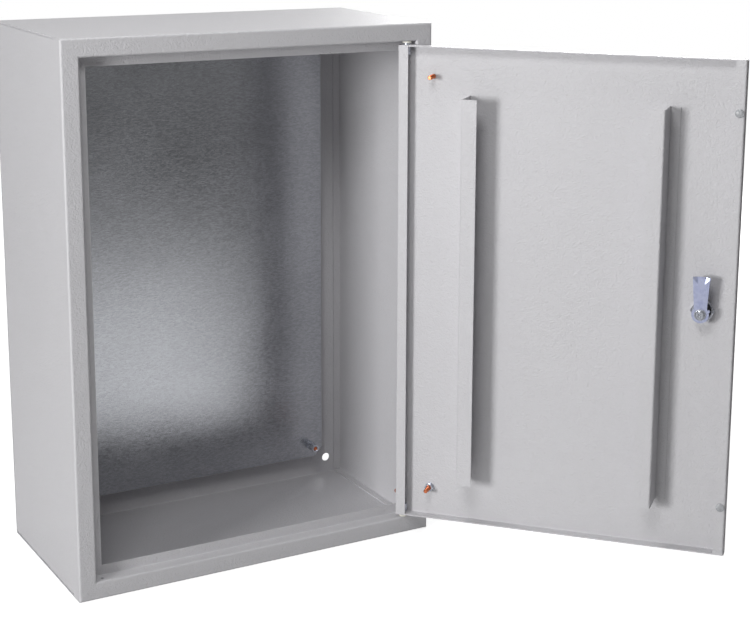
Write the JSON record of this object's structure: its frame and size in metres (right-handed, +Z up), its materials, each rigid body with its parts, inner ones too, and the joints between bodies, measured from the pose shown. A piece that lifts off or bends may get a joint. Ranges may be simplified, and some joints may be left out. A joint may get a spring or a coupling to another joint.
{
  "type": "wall enclosure",
  "caption": "Sheet steel wall enclosure with an inset hinged door, a cam lock and an inner mounting plate on studs.",
  "frame": {"origin": "middle of the four wall holes, on the outer face of the back", "axes": "+Z up, -Y out of the door side, +X to the hinge side; +Y is the normal of the back and points into the wall"},
  "size_m": [0.763, 0.5882, 0.7],
  "materials": {
    "painted_sheet": "satin powder coat with a fine orange peel",
    "galvanised_sheet": "hot-dip galvanised, matt with spangle",
    "copper_stud": "copper-flashed steel",
    "zinc_hardware": "bright zinc plate",
    "bush_nylon": "natural nylon",
    "clear_bumper": "clear soft polyurethane",
    "lock_black": "black coated die-cast zinc",
    "seal_rubber": "black rubber"
  },
  "bodies": {
    "cabinet": {"body_wrap": "painted_sheet", "left_side_panel": "painted_sheet", "right_side_panel": "painted_sheet", "mounting_plate": "galvanised_sheet", "plate_studs": "copper_stud", "plate_standoffs": "zinc_hardware", "plate_washers": "zinc_hardware", "plate_nuts": "zinc_hardware", "body_earth_stud": "copper_stud", "upper_hinge_bush": "bush_nylon", "lower_hinge_bush": "bush_nylon"},
    "door": {"door_pan": "painted_sheet", "hinge_side_stiffener": "painted_sheet", "lock_side_stiffener": "painted_sheet", "door_upper_stud": "copper_stud", "door_lower_stud": "copper_stud", "door_earth_washer": "zinc_hardware", "door_earth_nut": "zinc_hardware", "upper_hinge_pin": "zinc_hardware", "lower_hinge_pin": "zinc_hardware", "upper_hinge_nuts": "zinc_hardware", "lower_hinge_nuts": "zinc_hardware", "upper_bumper": "clear_bumper", "lower_bumper": "clear_bumper", "lock_housing": "lock_black", "lock_seal": "seal_rubber", "lock_nut": "zinc_hardware"},
    "latch": {"lock_insert": "zinc_hardware", "lock_cam": "zinc_hardware", "cam_washer": "zinc_hardware", "cam_screw": "zinc_hardware"}
  },
  "joints": [
    {"name": "door_hinge", "type": "hinge", "parent": "cabinet", "child": "door", "pos_m": [0.21558, -0.25445, 0], "axis": [0, 0, 1], "range_deg": [-132, 1]},
    {"name": "lock_turn", "type": "hinge", "parent": "door", "child": "latch", "pos_m": [0.48541, -0.54583, 0], "axis": [0.7431, 0.6691, 0], "range_deg": [0, 90]}
  ]
}
